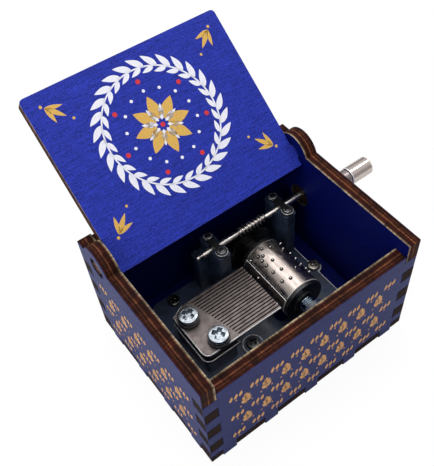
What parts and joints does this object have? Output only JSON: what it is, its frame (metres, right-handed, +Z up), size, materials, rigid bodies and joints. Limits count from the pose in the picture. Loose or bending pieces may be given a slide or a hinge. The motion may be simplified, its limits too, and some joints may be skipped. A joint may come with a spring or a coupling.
{
  "type": "music box",
  "caption": "Hand-cranked music box: finger-jointed plywood case, lid on plywood pivots, crank with worm shaft, pinned drum and steel comb on a cast bedplate.",
  "frame": {"origin": "middle of the floor panel's underside; the wall tabs that the case stands on reach 1 mm below it", "axes": "+X to the crank, +Y to the back panel where the lid is hinged, +Z up"},
  "size_m": [0.0762, 0.0774, 0.0637],
  "materials": {
    "case_ply": "printed satin plywood with burnt edges",
    "lid_ply": "printed satin plywood with burnt edges",
    "casting": "black, satin",
    "base_zinc": "machined",
    "comb_steel": "ground",
    "bright_steel": "bright zinc",
    "polished_steel": "polished",
    "black_steel": "blackened",
    "drum_nickel": "bright nickel",
    "black_plastic": "moulded"
  },
  "bodies": {
    "case": {"floor_panel": "case_ply", "front_panel": "case_ply", "back_panel": "case_ply", "left_panel": "case_ply", "right_panel": "case_ply", "bedplate": "casting", "bearing_strap_left": "casting", "bearing_strap_right": "casting", "strap_rivet_left_front": "black_steel", "strap_rivet_left_rear": "black_steel", "strap_rivet_right_front": "black_steel", "strap_rivet_right_rear": "black_steel", "comb_base": "base_zinc", "comb": "comb_steel", "comb_washer_rear": "black_steel", "comb_washer_front": "black_steel", "comb_screw_rear": "bright_steel", "comb_screw_front": "bright_steel", "mounting_screw_right": "bright_steel", "mounting_screw_front": "bright_steel", "mounting_screw_rear_left": "black_steel", "drum_pivot_screw": "bright_steel"},
    "lid": {"lid_panel": "lid_ply"},
    "drum": {"drum_arbor": "bright_steel", "drum_core": "black_plastic", "pinned_sleeve": "drum_nickel", "worm_wheel": "black_plastic"},
    "crank": {"crank_shaft": "bright_steel", "crank_arm": "bright_steel", "knob_pin": "bright_steel"},
    "knob": {"crank_knob": "polished_steel"}
  },
  "joints": [
    {"name": "lid_hinge", "type": "hinge", "parent": "case", "child": "lid", "pos_m": [0, 0.017, 0.0351], "axis": [1, 0, 0], "range_deg": [0, 142.2]},
    {"name": "crank_spin", "type": "hinge", "parent": "case", "child": "crank", "pos_m": [0.03515, 0.0134, 0.02102], "axis": [1, 0, 0], "continuous": true},
    {"name": "drum_spin", "type": "hinge", "parent": "case", "child": "drum", "pos_m": [0.01, 0, 0.01355], "axis": [0, 1, 0], "continuous": true},
    {"name": "knob_spin", "type": "hinge", "parent": "crank", "child": "knob", "pos_m": [0.0398, 0.00374, 0.03102], "axis": [1, 0, 0], "continuous": true}
  ],
  "couplings": [
    {"joint": "drum_spin", "follows": "crank_spin", "ratio": -0.027778}
  ]
}
